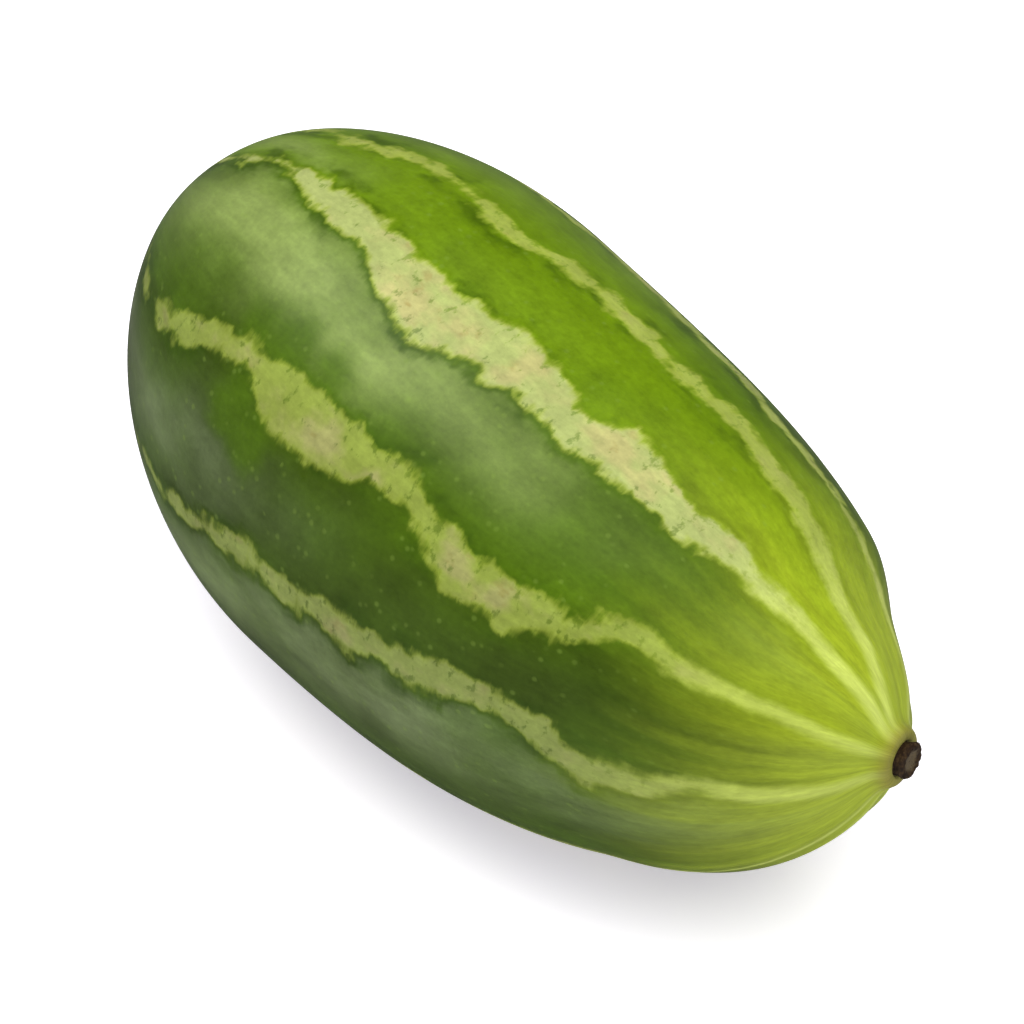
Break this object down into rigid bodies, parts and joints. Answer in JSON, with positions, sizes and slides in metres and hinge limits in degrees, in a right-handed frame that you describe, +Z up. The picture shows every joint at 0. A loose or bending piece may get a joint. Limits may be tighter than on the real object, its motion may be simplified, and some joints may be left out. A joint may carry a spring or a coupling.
{
  "type": "ivy gourd",
  "caption": "Small oval green gourd with long pale stripes, a pointed stem end with a dry brown stub and a blunt end with a round scar, lying on its side.",
  "frame": {"origin": "on the surface that the gourd lies on, under the middle of the whole object's box", "axes": "+X along the fruit towards its stem end, +Y across it, +Z up"},
  "size_m": [0.0566, 0.0286, 0.0285],
  "materials": {
    "fruit_skin": "waxy green skin with pale yellow-green stripes",
    "dry_stem": "dry, dark brown, matt"
  },
  "bodies": {
    "root": {"fruit": "fruit_skin", "stem_stub": "dry_stem"}
  },
  "joints": []
}
